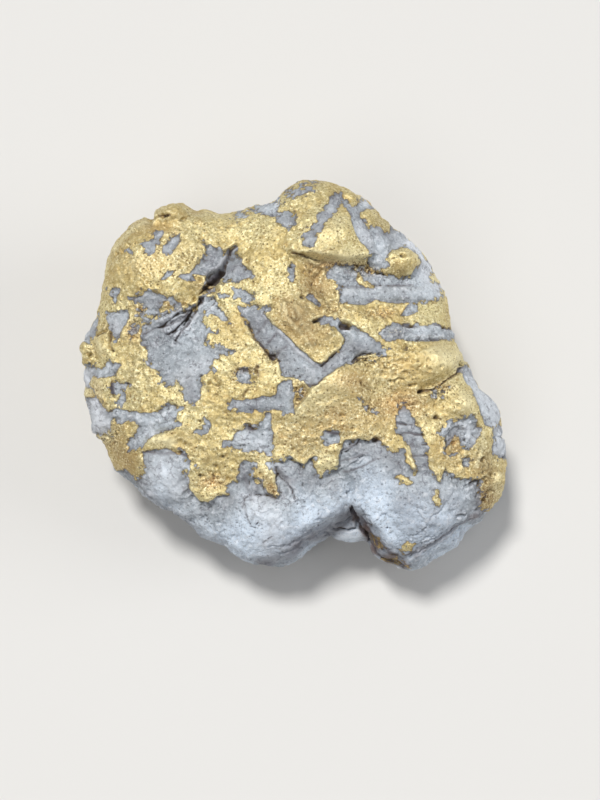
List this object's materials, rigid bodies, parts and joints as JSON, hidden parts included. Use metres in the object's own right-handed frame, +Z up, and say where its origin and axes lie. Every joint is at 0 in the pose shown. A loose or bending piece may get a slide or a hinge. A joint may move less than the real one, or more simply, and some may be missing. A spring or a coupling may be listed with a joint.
{
  "type": "gold nugget",
  "caption": "Worn, slab-like lump of gold grown together with milky quartz, lying on its back with the gold face up.",
  "frame": {"origin": "centre of the stone's outline seen from above, at the level of the flat worn patch that it rests on", "axes": "+Z up out of the gold face, +X across the face along its longest extent, +Y towards the end away from the two quartz feet"},
  "size_m": [0.1076, 0.0984, 0.0497],
  "materials": {
    "gold_and_quartz": "matte granular native gold over grey-white milky quartz, worn by water"
  },
  "bodies": {
    "root": {"nugget": "gold_and_quartz"}
  },
  "joints": []
}
